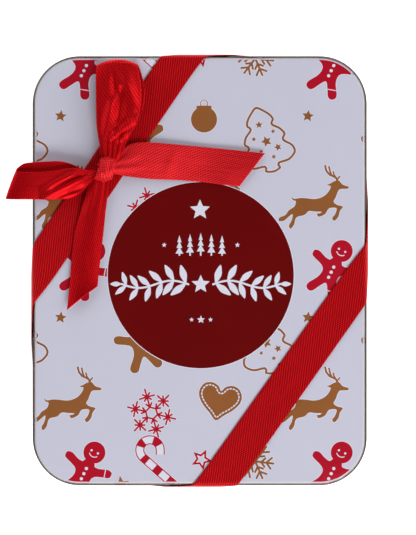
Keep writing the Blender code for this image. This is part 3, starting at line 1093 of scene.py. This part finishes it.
def ribbon_piece(name, material, rows, folds, wide=28, ridge_end=1.0, pleats=4.0, tuck=0.0):
    """A length of ribbon laid through rows.

    Each row is (edge a, edge b, crown, gather) in millimetres from the tin's middle: how far the
    ribbon arches between its edges, and how deep it is pleated there. folds are ridges, or with a
    negative height valleys, as (start, end, height, width) in the plan, up to ridge_end of the length.
    tuck is the share of the width that is rolled under at each side.
    """
    ribbon = bpy.context.scene.ribbon
    slices = 10
    edge_a = smooth_curve([Vector(row[0]) for row in rows], slices, False)
    edge_b = smooth_curve([Vector(row[1]) for row in rows], slices, False)
    extra = smooth_curve([Vector(row[2:]) for row in rows], slices, False)
    last = len(edge_a) - 1
    lengths = [0.0]
    for i in range(last):
        run = (edge_a[i + 1] + edge_b[i + 1]) - (edge_a[i] + edge_b[i])
        lengths.append(lengths[-1] + run.length / 2)
    bm = bmesh.new()
    shares = strip_grid(bm, last, wide)
    placed = []
    for vert, along, across in shares:
        i = round(along * last)
        a, b = edge_a[i], edge_b[i]
        ahead, behind = min(i + 1, last), max(i - 1, 0)
        run = (edge_a[ahead] + edge_b[ahead]) - (edge_a[behind] + edge_b[behind])
        out = (b - a).cross(run).normalized()
        crown, gather = extra[i]
        share, under = rolled_under(across, tuck)
        lift = crown * 4 * share * (1 - share) - ROLL_DEPTH * under
        lift += gather * math.cos(2 * math.pi * pleats * share) * min(1.0, 6 * share, 6 * (1 - share))
        point = a.lerp(b, share) + out * lift
        if along < ridge_end and not under:
            flat = Vector((point.x, point.y))
            fade = min(1.0, (ridge_end - along) * 12)
            for start, end, height, width in folds:
                swell = fold_lift(flat, Vector(start), Vector(end), width)
                point = point + out * height * fade * swell
        vert.co = place(*point)
        placed.append((vert, lengths[i] / lengths[-1], across))
    length = lengths[-1] * MM
    set_uv(bm, placed, ribbon.width, length)
    bmesh.ops.recalc_face_normals(bm, faces=bm.faces[:])
    piece = add_piece(name, bm, [material], "lid", sharp=80.0)
    thicken(piece, "Ribbon", ribbon.thickness, 0.0)
    return piece, length


def knot_bundle(material):
    """The ribbon packed inside the knot, as one pleated lump under the wrap."""
    middle_u, middle_v, middle_z = -41.3, 45.2, 49.5
    reach_u, reach_v, reach_z = 3.9, 4.6, 2.9
    pleats, pleat_depth = 11, 0.07
    bm = bmesh.new()
    shares = strip_grid(bm, 88, 20)
    for vert, along, across in shares:
        turn = 2 * math.pi * along
        rise = math.pi * (across - 0.5)
        reach = max(0.0, math.cos(rise)) ** 0.6 * (1 + pleat_depth * math.cos(pleats * turn))
        vert.co = place(middle_u + reach_u * reach * math.cos(turn),
                        middle_v + reach_v * reach * math.sin(turn),
                        middle_z + reach_z * math.sin(rise))
    set_uv(bm, shares, 10 * MM, 26 * MM)
    bmesh.ops.remove_doubles(bm, verts=bm.verts[:], dist=1e-6)
    bmesh.ops.recalc_face_normals(bm, faces=bm.faces[:])
    return add_piece("knot_bundle", bm, [material], "lid", sharp=80.0)


# How each ribbon of the bow is laid, as ribbon_piece takes it.
BOW = {
    "rear_loop": dict(ridge_end=0.46, pleats=5.0, rows=[
        ((-41.6, 46.5, 50.2), (-37.2, 47.0, 50.0), 0.6, 0.3),
        ((-43.4, 51.5, 51.6), (-33.8, 52.0, 51.0), 1.4, 0.6),
        ((-44.2, 56.8, 52.0), (-32.0, 57.5, 51.4), 1.2, 0.5),
        ((-45.2, 63.0, 52.2), (-28.2, 64.0, 51.6), 0.9, 0.15),
        ((-45.5, 70.0, 52.4), (-26.0, 71.5, 51.8), 0.8, 0.0),
        ((-45.6, 78.5, 52.6), (-25.6, 80.0, 52.0), 0.8, 0.0),
        ((-45.6, 85.6, 52.4), (-26.6, 86.6, 52.0), 1.0, 0.0),
        ((-45.4, 89.4, 51.5), (-27.6, 90.0, 51.2), 1.7, 0.0),
        ((-44.8, 90.3, 50.5), (-27.4, 90.6, 50.2), 2.4, 0.0),
        ((-43.4, 88.9, 49.5), (-26.4, 88.8, 49.2), 1.4, 0.0),
        ((-40.8, 82.0, 49.0), (-24.6, 82.6, 49.6), 0.3, 0.0),
        ((-39.6, 74.0, 48.8), (-24.3, 75.8, 49.9), 0.2, 0.0),
        ((-39.4, 66.0, 48.7), (-26.4, 67.0, 49.8), 0.3, 0.1),
        ((-40.2, 58.0, 48.8), (-30.8, 59.3, 49.6), 0.3, 0.2),
        ((-41.2, 50.6, 49.3), (-35.0, 51.0, 49.6), 0.3, 0.2),
    ], folds=[
        ((-36.6, 95.5), (-27.4, 69.5), 1.9, 2.1),
        ((-38.2, 95.0), (-37.2, 76.0), -1.7, 1.3), ((-34.2, 82.0), (-35.4, 65.0), -2.2, 2.0),
        ((-38.4, 76.0), (-42.2, 57.5), 1.7, 1.6), ((-40.5, 57.0), (-26.6, 68.2), 1.8, 1.2),
        ((-37.6, 55.4), (-29.4, 62.4), 0.9, 0.8), ((-40.5, 60.0), (-31.5, 66.9), -0.8, 0.8),
        ((-38.4, 56.9), (-29.2, 64.6), -0.6, 0.5),
    ]),
    "left_loop": dict(ridge_end=0.44, pleats=4.0, rows=[
        ((-45.4, 41.6, 50.2), (-45.4, 44.4, 50.4), 0.5, 0.3),
        ((-48.4, 38.6, 50.4), (-48.6, 44.2, 51.0), 0.9, 0.4),
        ((-52.0, 34.6, 50.4), (-53.0, 45.0, 51.6), 1.0, 0.2),
        ((-56.8, 32.0, 50.6), (-58.4, 45.0, 51.8), 0.9, 0.05),
        ((-63.5, 31.4, 51.0), (-65.0, 43.9, 51.9), 0.6, 0.0),
        ((-72.0, 31.4, 51.2), (-72.0, 43.4, 51.8), 0.5, 0.0),
        ((-80.6, 31.4, 51.2), (-77.4, 43.5, 51.6), 0.4, 0.0),
        ((-84.6, 31.5, 50.7), (-80.2, 43.7, 51.1), 0.3, 0.0),
        ((-85.2, 31.9, 50.0), (-80.5, 44.5, 50.4), 0.2, 0.0),
        ((-84.4, 32.4, 49.5), (-79.2, 46.0, 50.0), 0.1, 0.0),
        ((-80.0, 33.0, 49.0), (-76.4, 47.4, 50.0), 0.1, 0.0),
        ((-71.0, 33.6, 48.6), (-69.0, 48.0, 50.0), -0.2, 0.0),
        ((-61.0, 34.2, 48.6), (-61.2, 48.2, 50.0), -0.2, 0.0),
        ((-55.0, 36.2, 48.7), (-56.0, 46.8, 49.8), 0.1, 0.1),
        ((-50.0, 38.8, 49.0), (-51.0, 44.6, 49.6), 0.2, 0.2),
        ((-46.0, 41.6, 49.4), (-46.0, 43.6, 49.6), 0.2, 0.2),
    ], folds=[
        ((-70.0, 34.8), (-49.0, 46.0), 1.6, 1.3),
        ((-70.0, 31.6), (-47.0, 42.6), 1.6, 1.4),
        ((-65.0, 36.6), (-47.6, 43.4), -1.3, 0.9),
        ((-58.0, 34.2), (-50.6, 37.4), -0.7, 0.7), ((-62.0, 31.8), (-50.6, 35.0), 0.6, 0.7),
    ]),
    "right_tail": dict(pleats=3.0, rows=[
        ((-40.0, 46.6, 49.4), (-40.0, 43.2, 49.0), 0.3, 0.2),
        ((-37.4, 49.0, 48.5), (-37.0, 42.6, 48.2), 0.4, 0.2),
        ((-34.2, 53.0, 47.7), (-33.6, 41.8, 47.8), 0.5, 0.15),
        ((-30.4, 56.0, 47.5), (-29.0, 41.2, 47.6), 0.5, 0.08),
        ((-22.5, 56.6, 47.6), (-21.0, 40.4, 47.4), 0.5, 0.0),
        ((-9.0, 55.5, 47.4), (-8.6, 39.9, 47.0), 0.4, 0.0),
        ((4.0, 54.3, 47.0), (2.5, 38.9, 46.8), 0.4, 0.0),
        ((17.0, 53.0, 47.2), (11.0, 37.8, 47.1), 0.5, 0.0),
        ((28.8, 51.8, 46.9), (17.5, 37.2, 46.8), 0.3, 0.0),
    ], folds=[
        ((-9.8, 54.0), (-15.2, 41.2), 0.35, 1.6), ((-38.0, 44.0), (-24.0, 46.0), 0.5, 1.2),
        ((-36.0, 47.0), (-26.0, 51.0), 0.45, 1.3),
    ]),
    "front_tail": dict(pleats=3.0, rows=[
        ((-40.6, 43.0, 49.6), (-45.6, 43.0, 49.6), 0.4, 0.3),
        ((-40.2, 39.0, 49.2), (-48.2, 39.6, 48.8), 0.8, 0.4),
        ((-40.6, 33.0, 48.4), (-50.2, 33.4, 48.0), 1.3, 0.25),
        ((-41.4, 26.5, 47.8), (-52.4, 25.8, 47.6), 1.5, 0.1),
        ((-42.4, 17.0, 47.3), (-54.9, 16.8, 47.2), 1.5, 0.05),
        ((-43.6, 6.5, 47.2), (-56.3, 6.4, 47.0), 1.5, 0.0),
        ((-44.5, -1.7, 47.6), (-57.0, -3.6, 47.2), 1.4, 0.0),
        ((-44.9, -6.8, 48.2), (-58.4, -17.2, 47.8), 1.2, 0.0),
    ], folds=[
        ((-45.8, 41.5), (-46.6, 38.5), 0.5, 0.7), ((-46.5, 38.0), (-51.0, 22.0), 0.35, 1.2),
    ]),
    "knot_wrap": dict(wide=48, pleats=2.0, tuck=0.25, rows=[
        ((-38.0, 50.4, 46.8), (-43.0, 50.0, 46.8), 0.5, 0.1),
        ((-37.4, 49.6, 51.2), (-43.4, 49.2, 51.2), 1.2, 0.2),
        ((-36.9, 47.0, 53.0), (-43.6, 46.6, 53.0), 1.9, 0.15),
        ((-37.7, 43.8, 52.8), (-45.0, 43.2, 53.0), 1.9, 0.15),
        ((-38.4, 41.0, 51.2), (-46.2, 40.8, 51.4), 1.5, 0.2),
        ((-38.9, 40.2, 46.8), (-46.2, 40.2, 46.8), 0.6, 0.1),
    ], folds=[
        ((-40.9, 48.8), (-42.6, 44.4), 0.9, 0.8), ((-42.6, 44.4), (-44.6, 41.4), 0.9, 0.8),
        ((-39.3, 48.5), (-40.4, 41.2), -0.8, 0.8), ((-43.4, 48.0), (-44.9, 44.5), -0.6, 0.5),
    ]),
}


class COOKIE_TIN_OT_bow(bpy.types.Operator):
    """Ties the bow: two loops, two tails and the knot's wrap, all of one satin ribbon"""
    bl_idname = "cookie_tin.bow"
    bl_label = "Bow"

    def execute(self, context):
        ribbon = context.scene.ribbon
        satin = ribbon_material("polyester satin ribbon", ribbon.bow_deep, ribbon.bow_bright,
                                roughness=0.40, sheen=0.02, gloss=0.60, relief=0.2, painted_streak=0.6)
        # A painted lit copy of the satin, with lighter colours and more sheen, for the pieces that catch
        # the light most.
        painted_lit_satin = ribbon_material("polyester satin ribbon, painted lit copy", ribbon.painted_lit_deep,
                                       ribbon.painted_lit_bright, roughness=0.5, sheen=0.10, gloss=0.4,
                                       relief=0.3, painted_streak=0.6)
        under = ["ribbon_band", "print_underprint"]
        for name, node, material, held, rests_on in (
                ("rear_loop", "bow_rear_loop", satin, "folded", under),
                ("left_loop", "bow_left_loop", satin, "folded", under),
                ("right_tail", "bow_right_tail", painted_lit_satin, "laid", under),
                ("front_tail", "bow_front_tail", satin, "laid", under),
                ("knot_wrap", "bow_knot", painted_lit_satin, "gathered", ["ribbon_band"])):
            piece, length = ribbon_piece(name, material, **BOW[name])
            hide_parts(node)
        knot_bundle(satin)
        return {"FINISHED"}


# --- Stage --------------------------------------------------------------------------------

def soft_box(name, spot, size, power, target):
    """A square area light that looks at a target."""
    lamp = bpy.data.lights.new(name, "AREA")
    lamp.shape = "SQUARE"
    lamp.size = size
    lamp.energy = power
    light = put(name, lamp)
    light.location = spot
    light.rotation_euler = (Vector(target) - Vector(spot)).to_track_quat("-Z", "Y").to_euler()


class COOKIE_TIN_OT_stage(bpy.types.Operator):
    """Sets the floor, the lights and the camera straight above the lid"""
    bl_idname = "cookie_tin.stage"
    bl_label = "Stage"

    def execute(self, context):
        stage = context.scene.tin_stage
        material, tree, shader = new_material("matt white paper", {
            "Roughness": 0.9, "Specular IOR Level": 0.1, "Emission Color": (1.0, 1.0, 1.0, 1.0),
            "Emission Strength": 0.80})
        spot = add_node(tree, "ShaderNodeTexCoord").outputs["Object"]
        tone = spread(tree, noise(tree, spot, 300.0, 2.0), 0.86, 0.90)
        tree.links.new(tone, shader.inputs["Base Color"])
        bm = bmesh.new()
        bmesh.ops.create_grid(bm, x_segments=8, y_segments=8, size=stage.floor_size / 2)
        mesh = to_mesh("floor", bm)
        mesh.materials.append(material)
        put("floor", mesh)

        # Large soft boxes stand well off the vertical, and the ceiling is dark, so that the
        # level enamel shows its own colours to a camera straight above.
        target = (MIDDLE.x, MIDDLE.y, LID_TOP)
        soft_box("key", (0.35, -1.25, 1.05), 0.8, 19.0, target)
        soft_box("right", (1.35, 0.20, 0.85), 1.0, 8.0, target)
        soft_box("fill", (-1.15, 0.55, 0.85), 1.1, 5.0, target)
        soft_box("rear", (0.10, 1.40, 0.65), 0.6, 4.0, target)
        world = bpy.data.worlds.new("soft room")
        world.use_nodes = True
        tree = world.node_tree
        aim = add_node(tree, "ShaderNodeTexCoord")
        split = add_node(tree, "ShaderNodeSeparateXYZ", links={"Vector": aim.outputs["Generated"]})
        wall = spread(tree, split.outputs["Z"], 0.0, 0.60, 0.80, 0.20)
        background = tree.nodes["Background"]
        background.inputs["Color"].default_value = (0.93, 0.94, 1.0, 1.0)
        tree.links.new(wall, background.inputs["Strength"])
        context.scene.world = world

        lens = bpy.data.cameras.new("camera")
        lens.lens = lens.sensor_width * stage.height / stage.view_across
        lens.clip_end = 50.0
        camera = put("camera", lens)
        camera.location = (MIDDLE.x + 3.66 * MM, MIDDLE.y + 1.45 * MM, LID_TOP + stage.height)
        context.scene.camera = camera
        context.scene.view_settings.view_transform = "Standard"
        return {"FINISHED"}


# --- Panel and registration ---------------------------------------------------------------

OPERATORS = (
    COOKIE_TIN_OT_stage, COOKIE_TIN_OT_lid, COOKIE_TIN_OT_body, COOKIE_TIN_OT_print,
    COOKIE_TIN_OT_band, COOKIE_TIN_OT_bow,
)


class COOKIE_TIN_PT_panel(bpy.types.Panel):
    """Lists the tin's pieces"""
    bl_idname = "COOKIE_TIN_PT_panel"
    bl_label = "Cookie Tin"
    bl_space_type = "VIEW_3D"
    bl_region_type = "UI"
    bl_category = "Cookie Tin"

    def draw(self, context):
        for operator in OPERATORS:
            self.layout.operator(operator.bl_idname)


GROUPS = {"tin": TinSettings, "tin_print": PrintSettings, "ribbon": RibbonSettings,
          "tin_stage": StageSettings}


def register():
    for name, group in GROUPS.items():
        bpy.utils.register_class(group)
        setattr(bpy.types.Scene, name, PointerProperty(type=group))
    for operator in OPERATORS:
        bpy.utils.register_class(operator)
    bpy.utils.register_class(COOKIE_TIN_PT_panel)


def unregister():
    bpy.utils.unregister_class(COOKIE_TIN_PT_panel)
    for operator in reversed(OPERATORS):
        bpy.utils.unregister_class(operator)
    for name, group in reversed(GROUPS.items()):
        delattr(bpy.types.Scene, name)
        bpy.utils.unregister_class(group)


def main():
    register()
    bpy.ops.cookie_tin.stage()
    bpy.ops.cookie_tin.lid()
    bpy.ops.cookie_tin.body()
    bpy.ops.cookie_tin.print()
    bpy.ops.cookie_tin.band()
    bpy.ops.cookie_tin.bow()


if __name__ == "__main__":
    main()
